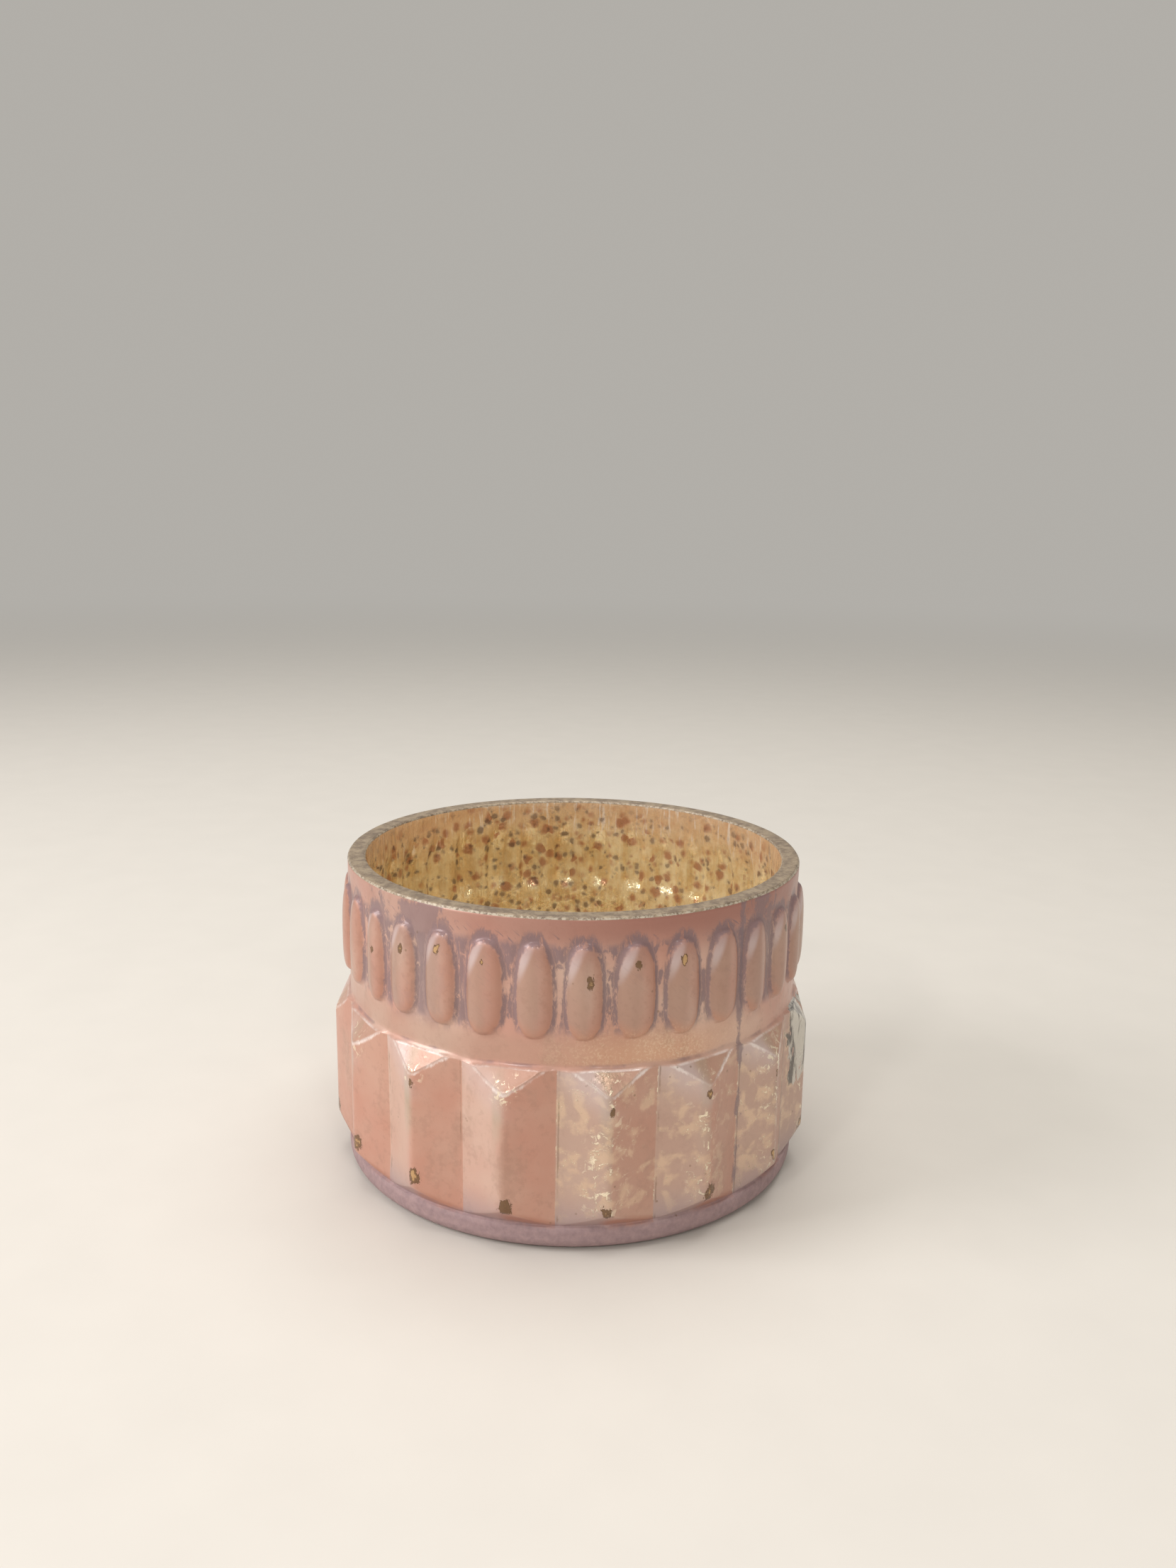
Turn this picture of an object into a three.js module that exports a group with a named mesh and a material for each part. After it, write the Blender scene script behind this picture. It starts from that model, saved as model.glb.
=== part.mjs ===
// Mould-blown glass tealight holder, with the tealight that it holds.
// Millimetres, +Z up. The origin is the middle of the foot, on the surface that the bowl stands on.
import * as THREE from "three";
import { mergeVertices } from "three/addons/utils/BufferGeometryUtils.js";

// Bowl: size, and the mould's divisions. A mesh column lies on every ridge, valley and lobe.
const rimRadius = 46.5;
const bowlHeight = 64.1;
const wall = 3.6;
const rimEdge = 0.35; // chamfer on both edges of the ground rim
const panelCount = 16;
const lobeCount = 32;
const columnCount = 128;

// Bowl: lobes under the plain collar
const lobeBottom = 41.2;
const lobeTop = 59.1;
const lobeWidth = 7.0;
const lobeRise = 1.45;
const lobeWidest = 0.4; // share of the lobe's height where it is widest
const lobeBluntness = 2.6; // 2 would give its outline elliptical ends
const lobeRowShares = [0.03, 0.1, 0.22, 0.4, 0.6, 0.76, 0.88, 0.96];

// Bowl: ridged panels of the lower body
const waistHeight = 35.4;
const waistRadius = 46.5;
const valleyRadius = 46.9;
const ridgeRadius = 50.0;
const gableApex = 30.8; // height at which a ridge ends in the point of its gable
const gableSlope = 1.6; // fall of the flat gable for each millimetre outwards
const gableStep = 0.5; // height of the small step from a gable up to the waist
const bevelSlope = 1.15; // rise of the bevel at its bottom for each millimetre outwards

const leastStep = 0.15; // least height between two rows of the skin

// Bowl: foot
const footRadius = 47.3;
const footRound = 2.4;
const footBandTop = 4.7;
const footStep = 0.4; // height of the small step from the foot band into a valley
const recessRadius = 29.0;
const recessDepth = 1.6;
const recessSlope = 3.2;

// Bowl: inside. It follows the lobes and panels more softly than the outside does.
const floorHeight = 6.6;
const floorRound = 9.0;
const lobeDimple = 0.9;
const panelDimple = 0.8;
const dimpleFade = 3.0; // distance from a dimple's end to where it is seven tenths deep

// Tealight
const gap = 0.3; // clearance between pieces that touch
const cupRadius = 19.0;
const cupHeight = 13.0;
const cupSheet = 0.4;
const cupLip = 0.45; // radius of the rolled lip
const cupHeel = 0.9; // radius between the cup's wall and its floor
const waxHeight = 11.0;
const waxEdge = 0.5;
const waxDish = 0.5; // the wax sinks this much towards the wick
const wickRadius = 0.7;
const wickHeight = 17.0;
const wickLean = 0.8;
const wickSteps = 18;
const clipRadius = 6.0;
const clipSheet = 0.3;
const clipCollar = 3.4;
const cupCorners = 64;
const clipCorners = 32;

const quarter = Math.PI / 2;
const panelAngle = (2 * Math.PI) / panelCount;
const lobeAngle = (2 * Math.PI) / lobeCount;

// Angle from the middle of a sector, from -half to +half of it. Sectors start at the front, which is -Y.
function fromMiddle(angle, sector) {
  const inSector = ((angle % sector) + sector) % sector;
  return inSector - sector / 2;
}

// Radius of the flat facets that fall from a ridge, in the middle of a panel, to the valleys at its sides
function facetRadius(angle) {
  const half = panelAngle / 2;
  const fromRidge = Math.abs(fromMiddle(angle, panelAngle));
  const slant = ridgeRadius * Math.sin(fromRidge) + valleyRadius * Math.sin(half - fromRidge);
  return (ridgeRadius * valleyRadius * Math.sin(half)) / slant;
}

// Radius of the lobed belt. A lobe has an almond outline with blunt ends, and a half-round section.
function lobedRadius(angle, share) {
  const toEnd = share < lobeWidest ? lobeWidest : 1 - lobeWidest;
  const towardsEnd = Math.abs(share - lobeWidest) / toEnd;
  const fullness = (1 - towardsEnd ** lobeBluntness) ** (1 / lobeBluntness);
  const across = Math.abs(fromMiddle(angle, lobeAngle)) * rimRadius;
  const reach = Math.min(1, across / ((fullness * lobeWidth) / 2));
  return rimRadius + lobeRise * fullness * Math.sqrt(1 - reach * reach);
}

// [radius, height] points of an arc about a middle
function arc(middle, radius, from, to, steps) {
  return Array.from({ length: steps + 1 }, (_, step) => {
    const angle = THREE.MathUtils.lerp(from, to, step / steps);
    return [middle[0] + radius * Math.cos(angle), middle[1] + radius * Math.sin(angle)];
  });
}

// A row of the bowl's skin is a function from an angle to a [radius, height] point. A plain row is a circle.
const plain = (point) => () => point;

// Rows of the outside, from the recess under the foot up to the rim's outer edge
function outsideRows() {
  const rows = [plain([recessRadius - recessSlope, recessDepth]), plain([recessRadius, 0])];
  const footArc = arc([footRadius - footRound, footRound], footRound, -quarter, 0, 3);
  rows.push(...footArc.map(plain), plain([footRadius, footBandTop]));
  rows.push((angle) => {
    const radius = facetRadius(angle);
    return [radius, footBandTop + footStep + bevelSlope * (radius - valleyRadius)];
  });
  rows.push((angle) => {
    const radius = facetRadius(angle);
    const outwards = radius * Math.cos(fromMiddle(angle, panelAngle));
    const height = gableApex + gableSlope * (ridgeRadius - outwards);
    return [radius, Math.min(height, waistHeight - leastStep)];
  });
  rows.push((angle) => {
    const outwards = ridgeRadius - (waistHeight - gableApex) / gableSlope;
    const radius = outwards / Math.cos(fromMiddle(angle, panelAngle));
    return [Math.min(radius, facetRadius(angle)), waistHeight];
  });
  rows.push(plain([waistRadius, waistHeight + gableStep]), plain([rimRadius, lobeBottom]));
  for (const share of lobeRowShares) {
    const height = THREE.MathUtils.lerp(lobeBottom, lobeTop, share);
    rows.push((angle) => [lobedRadius(angle, share), height]);
  }
  rows.push(plain([rimRadius, lobeTop]), plain([rimRadius, bowlHeight - rimEdge]));
  rows.push(plain([rimRadius - rimEdge, bowlHeight]));
  return rows;
}

// Rows of the inside, from the rim's inner edge down to the flat floor
function insideRows() {
  const radius = rimRadius - wall;
  const waved = (height, depth, count) => (angle) => {
    const wave = (1 - Math.cos(angle * count)) / 2;
    return [radius + depth * wave, height];
  };
  const floorArc = arc([radius - floorRound, floorHeight + floorRound], floorRound, 0, -quarter, 4);
  return [
    plain([radius + rimEdge, bowlHeight]),
    plain([radius, bowlHeight - rimEdge]),
    plain([radius, lobeTop]),
    waved(lobeTop - dimpleFade, 0.7 * lobeDimple, lobeCount),
    waved((lobeTop + lobeBottom) / 2, lobeDimple, lobeCount),
    waved(lobeBottom + dimpleFade, 0.7 * lobeDimple, lobeCount),
    plain([radius, waistHeight + 1]),
    waved(waistHeight - dimpleFade, 0.7 * panelDimple, panelCount),
    waved((waistHeight + floorHeight) / 2, panelDimple, panelCount),
    ...floorArc.map(plain),
  ];
}

// One closed skin over the rows, with a point on the axis at each end
function skinOverRows(rows, columns) {
  const points = [];
  for (const row of rows) {
    for (let column = 0; column < columns; column++) {
      const angle = (column * 2 * Math.PI) / columns;
      const [radius, height] = row(angle);
      points.push(radius * Math.sin(angle), -radius * Math.cos(angle), height);
    }
  }
  const firstMiddle = rows.length * columns;
  const lastMiddle = firstMiddle + 1;
  points.push(0, 0, rows[0](0)[1]);
  points.push(0, 0, rows[rows.length - 1](0)[1]);

  const faces = [];
  const lastRow = (rows.length - 1) * columns;
  for (let column = 0; column < columns; column++) {
    const next = (column + 1) % columns;
    faces.push(firstMiddle, next, column);
    faces.push(lastMiddle, lastRow + column, lastRow + next);
    for (let low = 0; low < lastRow; low += columns) {
      const high = low + columns;
      faces.push(low + column, low + next, high + next);
      faces.push(low + column, high + next, high + column);
    }
  }
  const geometry = new THREE.BufferGeometry();
  geometry.setAttribute("position", new THREE.Float32BufferAttribute(points, 3));
  geometry.setIndex(faces);
  geometry.computeVertexNormals();
  return geometry;
}

// The same geometry with its seams closed, ready to be one solid
function closed(geometry) {
  geometry.deleteAttribute("uv");
  geometry.deleteAttribute("normal");
  const merged = mergeVertices(geometry, 1e-4);
  merged.computeVertexNormals();
  return merged;
}

// A profile of [radius, height] points, turned round the Z axis
function turned(profile, corners) {
  const outline = profile.map(([radius, height]) => new THREE.Vector2(radius, height));
  const geometry = new THREE.LatheGeometry(outline, corners);
  geometry.rotateX(quarter);
  return closed(geometry);
}

// Pressed aluminium cup with a round heel and a rolled lip
function cupGeometry() {
  const inside = cupRadius - cupSheet;
  const lipMiddle = [inside + cupLip, cupHeight - cupLip];
  const profile = [
    [0, 0],
    ...arc([cupRadius - cupHeel, cupHeel], cupHeel, -quarter, 0, 3),
    ...arc(lipMiddle, cupLip, -quarter / 2, quarter, 4),
    [inside, cupHeight],
    ...arc([inside - cupHeel, cupSheet + cupHeel], cupHeel, 0, -quarter, 3),
    [0, cupSheet],
  ];
  return turned(profile, cupCorners);
}

// Wax poured into the cup: bored for the wick, and hollow underneath for the clip
function waxGeometry() {
  const bottom = cupSheet + gap;
  const top = cupSheet + waxHeight;
  const radius = cupRadius - cupSheet - gap;
  const bore = wickRadius + gap;
  const collarSocket = bore + clipSheet + gap;
  const discSocket = clipRadius + gap;
  const profile = [
    [discSocket, bottom],
    ...arc([radius - cupHeel, bottom + cupHeel], cupHeel, -quarter, 0, 3),
    ...arc([radius - waxEdge, top - waxEdge], waxEdge, 0, quarter, 2),
    [radius * 0.7, top - waxDish * 0.35],
    [radius * 0.35, top - waxDish * 0.75],
    [bore, top - waxDish],
    [bore, bottom + clipCollar + gap],
    [collarSocket, bottom + clipCollar + gap],
    [collarSocket, bottom + clipSheet + gap],
    [discSocket, bottom + clipSheet + gap],
    [discSocket, bottom],
  ];
  return turned(profile, cupCorners);
}

// Tin clip under the wax: a disc with a short collar round the wick
function clipGeometry() {
  const bottom = cupSheet + gap;
  const bore = wickRadius + gap;
  const collar = bore + clipSheet;
  const profile = [
    [bore, bottom],
    [clipRadius, bottom],
    [clipRadius, bottom + clipSheet],
    [collar, bottom + clipSheet],
    [collar, bottom + clipCollar],
    [bore, bottom + clipCollar],
    [bore, bottom],
  ];
  return turned(profile, clipCorners);
}

// Cotton wick: upright in the wax, with a free end that leans over a little
function wickGeometry() {
  const bottom = cupSheet + gap;
  const waxTop = cupSheet + waxHeight;
  const route = new THREE.CatmullRomCurve3([
    new THREE.Vector3(0, 0, bottom),
    new THREE.Vector3(0, 0, waxTop / 2),
    new THREE.Vector3(0, 0, waxTop),
    new THREE.Vector3(wickLean / 3, 0, (waxTop + wickHeight) / 2),
    new THREE.Vector3(wickLean, 0, wickHeight),
  ]);
  const section = new THREE.Shape();
  section.absarc(0, 0, wickRadius, 0, 2 * Math.PI, false);
  const settings = { steps: wickSteps, curveSegments: 6, extrudePath: route };
  return closed(new THREE.ExtrudeGeometry(section, settings));
}

function piece(name, geometry, color, roughness, metalness) {
  const material = new THREE.MeshStandardMaterial({ color, roughness, metalness });
  const mesh = new THREE.Mesh(geometry, material);
  mesh.name = name;
  return mesh;
}

const bowlSkin = skinOverRows([...outsideRows(), ...insideRows()], columnCount);
const holder = new THREE.Group();
holder.add(piece("glass_bowl", bowlSkin, 0xb98a84, 0.35, 0.1));

const tealight = new THREE.Group();
tealight.position.z = floorHeight + gap;
tealight.add(piece("tealight_cup", cupGeometry(), 0xc9cacc, 0.3, 1));
tealight.add(piece("wax", waxGeometry(), 0xf3efe6, 0.45, 0));
tealight.add(piece("wick_clip", clipGeometry(), 0xa9a9a6, 0.4, 1));
tealight.add(piece("wick", wickGeometry(), 0xeee9dc, 0.9, 0));
holder.add(tealight);

export default holder;
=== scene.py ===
import math

import bpy
import numpy as np
from mathutils import Matrix, Vector


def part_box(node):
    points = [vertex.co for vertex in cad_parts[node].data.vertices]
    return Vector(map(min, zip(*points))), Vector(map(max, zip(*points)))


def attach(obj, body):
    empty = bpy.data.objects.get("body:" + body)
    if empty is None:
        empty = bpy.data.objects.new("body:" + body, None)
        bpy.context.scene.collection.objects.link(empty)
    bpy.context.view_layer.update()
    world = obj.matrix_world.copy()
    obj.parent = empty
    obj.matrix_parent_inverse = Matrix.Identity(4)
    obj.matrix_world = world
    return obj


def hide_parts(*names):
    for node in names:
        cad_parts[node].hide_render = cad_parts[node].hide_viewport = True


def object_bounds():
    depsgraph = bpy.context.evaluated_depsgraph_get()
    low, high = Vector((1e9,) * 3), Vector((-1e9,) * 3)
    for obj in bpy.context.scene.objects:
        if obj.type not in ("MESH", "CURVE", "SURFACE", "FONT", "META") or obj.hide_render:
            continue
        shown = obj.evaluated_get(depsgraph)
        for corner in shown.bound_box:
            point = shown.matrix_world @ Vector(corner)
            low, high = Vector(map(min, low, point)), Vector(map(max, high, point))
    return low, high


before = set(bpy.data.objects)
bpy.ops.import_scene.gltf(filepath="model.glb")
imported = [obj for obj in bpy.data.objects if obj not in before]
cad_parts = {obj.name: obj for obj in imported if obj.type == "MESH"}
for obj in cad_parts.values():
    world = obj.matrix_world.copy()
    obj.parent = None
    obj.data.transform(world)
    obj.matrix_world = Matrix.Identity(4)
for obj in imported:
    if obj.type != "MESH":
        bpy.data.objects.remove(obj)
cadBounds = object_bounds()
mm = 0.001
fullTurn = 2 * math.pi
quarterTurn = math.pi / 2


def tone(red, green, blue):  # a colour on a 0 to 255 scale as a shader's linear colour
    shares = [value / 255 for value in (red, green, blue)]
    linear = [s / 12.92 if s <= 0.04045 else ((s + 0.055) / 1.055) ** 2.4 for s in shares]
    return (*linear, 1.0)


def dimmed(colour, share):
    return tuple(share * part for part in colour)


# Camera, light and floor

camera = {
    "place": (2.7, -264.2, 135.8),  # mm, before it is swung round the bowl
    "aroundDegrees": 2.2,
    "downDegrees": 12.4,
    "rollDegrees": 0.9,
    "lens": 30.1,
    "sensor": 36,
    "sees": (0.01, 20),  # metres
}


def makeCamera():
    optics = bpy.data.cameras.new("studioCamera")
    optics.lens = camera["lens"]
    optics.sensor_width = camera["sensor"]
    optics.clip_start, optics.clip_end = camera["sees"]
    holder = bpy.data.objects.new("studioCamera", optics)
    bpy.context.scene.collection.objects.link(holder)
    around = Matrix.Rotation(math.radians(camera["aroundDegrees"]), 4, "Z")
    place = Matrix.Translation(Vector(camera["place"]) * mm)
    tilt = Matrix.Rotation(math.radians(90 - camera["downDegrees"]), 4, "X")
    roll = Matrix.Rotation(math.radians(camera["rollDegrees"]), 4, "Z")
    holder.matrix_world = around @ place @ tilt @ roll
    bpy.context.scene.camera = holder


lights = {  # places in metres
    "window": {"place": (-0.76, -0.22, 0.52), "size": 0.42, "watts": 4.9, "colour": (1.0, 0.97, 0.98)},
    "front": {"place": (-0.15, -0.95, 0.6), "size": 0.6, "watts": 0.3, "colour": (1.0, 0.96, 0.93)},
    "ceiling": {"place": (0.05, 0.12, 0.95), "size": 0.7, "watts": 5.2, "colour": (1.0, 0.97, 0.93)},
    "leftLamp": {"place": (-0.4, -0.8, 0.6), "size": 0.1, "watts": 1.4, "colour": (1.0, 0.97, 0.93)},
    "rightLamp": {"place": (0.3, -0.85, 0.6), "size": 0.1, "watts": 0.9, "colour": (1.0, 0.97, 0.93)},
}
room = {"colour": tone(214, 210, 203), "strength": 0.66}


def makeLights():
    middle = (cadBounds[0] + cadBounds[1]) / 2
    for name, light in lights.items():
        panel = bpy.data.lights.new(name, "AREA")
        panel.size = light["size"]
        panel.energy = light["watts"]
        panel.color = light["colour"]
        holder = bpy.data.objects.new(name, panel)
        holder.location = light["place"]
        holder.rotation_euler = (Vector(light["place"]) - middle).to_track_quat("Z", "Y").to_euler()
        bpy.context.scene.collection.objects.link(holder)
    world = bpy.data.worlds.new("room")
    world.use_nodes = True
    background = world.node_tree.nodes["Background"]
    background.inputs["Color"].default_value = room["colour"]
    background.inputs["Strength"].default_value = room["strength"]
    bpy.context.scene.world = world
    bpy.context.scene.view_settings.view_transform = "Standard"


# Shader expressions


class Wire:  # one shader socket that Python's operators work on
    def __init__(self, paint, socket):
        self.paint = paint
        self.socket = socket

    def __add__(self, other):
        return self.paint.math("ADD", self, other)

    def __radd__(self, other):
        return self.paint.math("ADD", other, self)

    def __sub__(self, other):
        return self.paint.math("SUBTRACT", self, other)

    def __rsub__(self, other):
        return self.paint.math("SUBTRACT", other, self)

    def __mul__(self, other):
        return self.paint.math("MULTIPLY", self, other)

    def __rmul__(self, other):
        return self.paint.math("MULTIPLY", other, self)

    def __abs__(self):
        return self.paint.math("ABSOLUTE", self, 0.0)


class Paint:  # one material while its nodes are being made
    def __init__(self, name):
        self.material = bpy.data.materials.new(name)
        self.material.use_nodes = True
        self.tree = self.material.node_tree
        self.tree.nodes.clear()

    def node(self, kind, settings, sockets, output=0):
        made = self.tree.nodes.new("ShaderNode" + kind)
        for key, value in settings.items():
            setattr(made, key, value)
        for key, value in sockets.items():
            if isinstance(value, Wire):
                self.tree.links.new(value.socket, made.inputs[key])
            else:
                made.inputs[key].default_value = value
        return Wire(self, made.outputs[output]) if made.outputs else made

    def math(self, operation, left, right):
        return self.node("Math", {"operation": operation}, {0: left, 1: right})

    def place(self):
        return self.node("TexCoord", {}, {}, "Object")

    def stretch(self, vector, scale):
        return self.node("VectorMath", {"operation": "MULTIPLY"}, {0: vector, 1: scale})

    def shift(self, vector, by):
        return self.node("VectorMath", {"operation": "ADD"}, {0: vector, 1: by})

    def turned(self, vector, turn, sizes):  # along turned axes, with a feature's size along each
        values = {"Vector": vector, "Rotation": turn, "Scale": sizes}
        return self.node("Mapping", {"vector_type": "TEXTURE"}, values)

    def noise(self, vector, scale, detail=2.0, rough=0.5, twist=0.0, output="Fac"):
        values = {"Vector": vector, "Scale": scale, "Detail": detail, "Roughness": rough, "Distortion": twist}
        return self.node("TexNoise", {}, values, output)

    def cells(self, vector, scale, output="Distance"):
        return self.node("TexVoronoi", {}, {"Vector": vector, "Scale": scale}, output)

    def field(self, name):  # a number kept on the mesh's points
        return self.node("Attribute", {"attribute_name": name}, {}, "Fac")

    def axis(self, vector, index):
        return self.node("SeparateXYZ", {}, {0: vector}, index)

    def bump(self, height, depth):
        return self.node("Bump", {}, {"Height": height, "Distance": depth})

    def finish(self, sockets):
        surface = self.node("BsdfPrincipled", {}, sockets)
        self.node("OutputMaterial", {}, {"Surface": surface})
        return self.material


def rise(value, low, high):  # 0 below low, 1 above high, smooth between
    ends = {"Value": value, "From Min": low, "From Max": high}
    return value.paint.node("MapRange", {"interpolation_type": "SMOOTHSTEP"}, ends)


def below(value, low, high):  # 1 below low, 0 above high
    return 1 - rise(value, low, high)


def most(left, right):
    return left.paint.math("MAXIMUM", left, right)


def mix(share, under, over):
    return share.paint.node("Mix", {"data_type": "RGBA"}, {0: share, 6: under, 7: over}, 2)


def wobble(noise, size):  # a noise as an offset, which makes a border uneven
    return (noise - 0.5) * size


# Mesh helpers


def ease(count):  # shares from 0 to 1, closer together at both ends
    steps = np.linspace(0, 1, count)
    evenly = 0.4
    return evenly * steps + (1 - evenly) / 2 * (1 - np.cos(math.pi * steps))


def smooth(value, low, high):
    share = np.clip((value - low) / (high - low), 0, 1)
    return share * share * (3 - 2 * share)


def within(value, low, fullFrom, fullTo, high):  # 0 outside low and high, 1 between the middle two
    return smooth(value, low, fullFrom) * (1 - smooth(value, fullTo, high))


def bell(value, width):
    return np.exp(-((value / width) ** 2))


def softMax(left, right, width):
    share = np.clip(0.5 + 0.5 * (left - right) / width, 0, 1)
    return right + (left - right) * share + width * share * (1 - share) / 2


def softMin(left, right, width):
    return -softMax(-left, -right, width)


def ripple(angle, height, seed, waves, tallest):  # slow unevenness of hand-worked glass, about -1 to 1
    random = np.random.default_rng(seed)
    total = 0 * angle * height
    for count in range(waves):
        around = random.integers(2, 5 + 3 * count)
        upward = random.uniform(0.3, 1.0) * fullTurn / tallest
        start = random.uniform(0, fullTurn)
        total = total + np.sin(angle * around + height * upward + start) / waves**0.5
    return total


def addPiece(name, mesh):
    piece = bpy.data.objects.new(name, mesh)
    bpy.context.scene.collection.objects.link(piece)
    return piece


def revolved(name, angles, radii, heights, fields, ring=False, lean=None):  # a ring's outline is closed
    rows, columns = radii.shape
    across = radii * np.sin(angles)
    if lean is not None:
        across = across + lean[:, None]
    points = np.stack([across, -radii * np.cos(angles), heights], -1).reshape(-1, 3)
    low = np.arange(rows * columns).reshape(rows, columns)
    if not ring:
        low = low[:-1]
    beside = np.roll(low, -1, axis=1)
    high = (low + columns) % (rows * columns)
    quads = np.stack([low, beside, np.roll(high, -1, axis=1), high], -1).reshape(-1, 4).tolist()
    if not ring:
        middles = [[across[row].mean(), 0, heights[row].mean()] for row in (0, -1)]
        points = np.concatenate([points, middles])
        bottom, top = rows * columns, rows * columns + 1
        last = bottom - columns
        quads += [(bottom, (c + 1) % columns, c) for c in range(columns)]
        quads += [(top, last + c, last + (c + 1) % columns) for c in range(columns)]
    mesh = bpy.data.meshes.new(name)
    mesh.from_pydata((points * mm).tolist(), [], quads)
    mesh.shade_smooth()
    for key, values in fields.items():
        grid = values + 0 * radii
        numbers = grid.reshape(-1)
        if not ring:
            numbers = np.concatenate([numbers, grid[0, :1], grid[-1, :1]])
        stored = mesh.attributes.new(key, "FLOAT", "POINT")
        stored.data.foreach_set("value", numbers.astype(np.float32))
    return addPiece(name, mesh)


def paintRows(piece, columns, bands):  # bands are (number of face rows, material), from the foot upwards
    slots = []
    for index, (count, material) in enumerate(bands):
        piece.data.materials.append(material)
        slots.extend([index] * count * columns)
    slots.extend([0] * columns)
    slots.extend([len(bands) - 1] * columns)
    piece.data.polygons.foreach_set("material_index", slots)


def settle(piece, body, node, material=None):
    if material:
        piece.data.materials.append(material)
    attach(piece, body)
    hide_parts(node)


# Glass bowl: its shape

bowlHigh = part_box("glass_bowl")[1]
bowl = {  # millimetres
    "columns": 512,
    "rimRadius": 46.5,
    "wall": 3.6,
    "rimRound": 0.5,
    "rimWear": 0.1,
    "panels": 16,
    "lobes": 32,
    "lobeBottom": 41.2,
    "lobeTop": 59.1,
    "lobeWidth": 7.0,
    "lobeRise": 1.45,
    "lobeWidest": 0.42,  # as a share of its length
    "lobeTopBluntness": 2.7,
    "lobeFootBluntness": 2.9,
    "lobeCrest": 1.6,
    "lobeSwell": 0.62,
    "grooveDepth": 0.14,
    "grooveReach": 1.12,  # 1 is a lobe's outline
    "grooveWidth": 0.12,
    "waistHeight": 35.4,
    "waistRadius": 46.5,
    "waistLip": 0.15,
    "shelfSlope": 3,
    "valleyRadius": 46.9,
    "gableApex": 30.8,
    "gableSlope": 1.6,
    "gableStep": 0.5,
    "leastGable": 1.2,
    "bevelSlope": 1.15,
    "softRidge": 0.55,
    "softValley": 0.3,
    "softEdge": 0.45,
    "footRadius": 47.3,
    "footRound": 2.4,
    "footBandTop": 4.7,
    "footStep": 0.4,
    "footTaper": 2.0,
    "recessRadius": 29.0,
    "recessSlope": 3.2,
    "recessDepth": 1.6,
    "floorHeight": 6.6,
    "floorRound": 9.0,
    "lobeDimple": 1.2,
    "lobeDimpleReach": (0.45, 1.0),
    "panelDimple": 1.1,
    "panelDimpleFoot": (6, 14),  # above the floor
    "panelDimpleTop": (-5, 1),  # from the waist
    "valleyDimple": 0.3,  # how much of a panel's dimple is left in a valley
    "unevenOutside": 0.07,
    "unevenFoot": (2.4, 7.0),
    "unevenTop": (-5, -1),  # from the rim, like the next two
    "sway": 0.22,
    "swayFoot": (5, 12),
    "swayTop": (-10, -2),
    "unevenInside": 0.13,
    "insideTop": (-3, -0.5),
    "insideFoot": 6,  # above the rounded corner
    "seams": 2,
    "seamDegrees": 45,
    "seamRise": 0.14,
    "seamWidth": 0.4,
}
rowCounts = {  # rows of the mesh along each stretch of the outline
    "recess": 6,
    "footRound": 8,
    "footBand": 2,
    "bevel": 11,
    "panel": 17,
    "gable": 13,
    "waist": 9,
    "lobes": 40,
    "collar": 6,
    "rimOutside": 4,
    "rimInside": 4,
    "wall": 45,
    "floorRound": 9,
}
bowlHeight = bowlHigh.z / mm
halfPanel = math.pi / bowl["panels"]
ridgeRadius = bowlHigh.x / mm / math.cos(halfPanel)  # the box's sides lie between two ridges


def fromRim(name):  # heights that are kept as distances from the rim
    return [bowlHeight + part for part in bowl[name]]


def fromMiddle(angle, sectors):
    sector = fullTurn / sectors
    return np.mod(angle, sector) - sector / 2


def sectorOf(angle, sectors):
    return np.floor(angle / fullTurn * sectors).astype(int) % sectors


def fromRidge(angle):  # millimetres along the surface to the middle ridge of a panel
    return fromMiddle(angle, bowl["panels"]) * ridgeRadius


def fromSeam(angle):  # millimetres along the surface to the nearest mould seam
    turned = angle - math.radians(bowl["seamDegrees"]) + math.pi / bowl["seams"]
    return fromMiddle(turned, bowl["seams"]) * bowl["rimRadius"]


def facetRadius(angle):
    ridge = np.abs(fromMiddle(angle, bowl["panels"]))
    softRidge = bowl["softRidge"] / ridgeRadius
    softValley = bowl["softValley"] / bowl["valleyRadius"]
    ridge = np.hypot(ridge, softRidge)
    ridge = halfPanel - np.hypot(halfPanel - ridge, softValley)
    slant = ridgeRadius * np.sin(ridge) + bowl["valleyRadius"] * np.sin(halfPanel - ridge)
    return ridgeRadius * bowl["valleyRadius"] * math.sin(halfPanel) / slant


def alongLobe(height):  # 0 where a lobe is widest and 1 at its ends, with how blunt that end is
    share = (height - bowl["lobeBottom"]) / (bowl["lobeTop"] - bowl["lobeBottom"])
    widest = bowl["lobeWidest"]
    lower = share < widest
    along = np.abs(share - widest) / np.where(lower, widest, 1 - widest)
    return along, np.where(lower, bowl["lobeFootBluntness"], bowl["lobeTopBluntness"])


def acrossLobe(angle):  # -1 to 1 from side to side of a lobe
    return fromMiddle(angle, bowl["lobes"]) * bowl["rimRadius"] * 2 / bowl["lobeWidth"]


def lobeRise(angle, height):
    along, blunt = alongLobe(height)
    fullness = (1 - np.clip(along, 0, 1) ** blunt) ** (1 / blunt)
    narrowest = 0.03
    across = np.clip(np.abs(acrossLobe(angle)) / np.maximum(fullness, narrowest), 0, 1)
    return bowl["lobeRise"] * fullness * (1 - across ** bowl["lobeCrest"]) ** bowl["lobeSwell"]


def lobeReach(angle, height):  # 0 in a lobe's middle, 1 on its outline, more outside it
    along, blunt = alongLobe(height)
    return (np.abs(acrossLobe(angle)) ** blunt + along**blunt) ** (1 / blunt)


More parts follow.
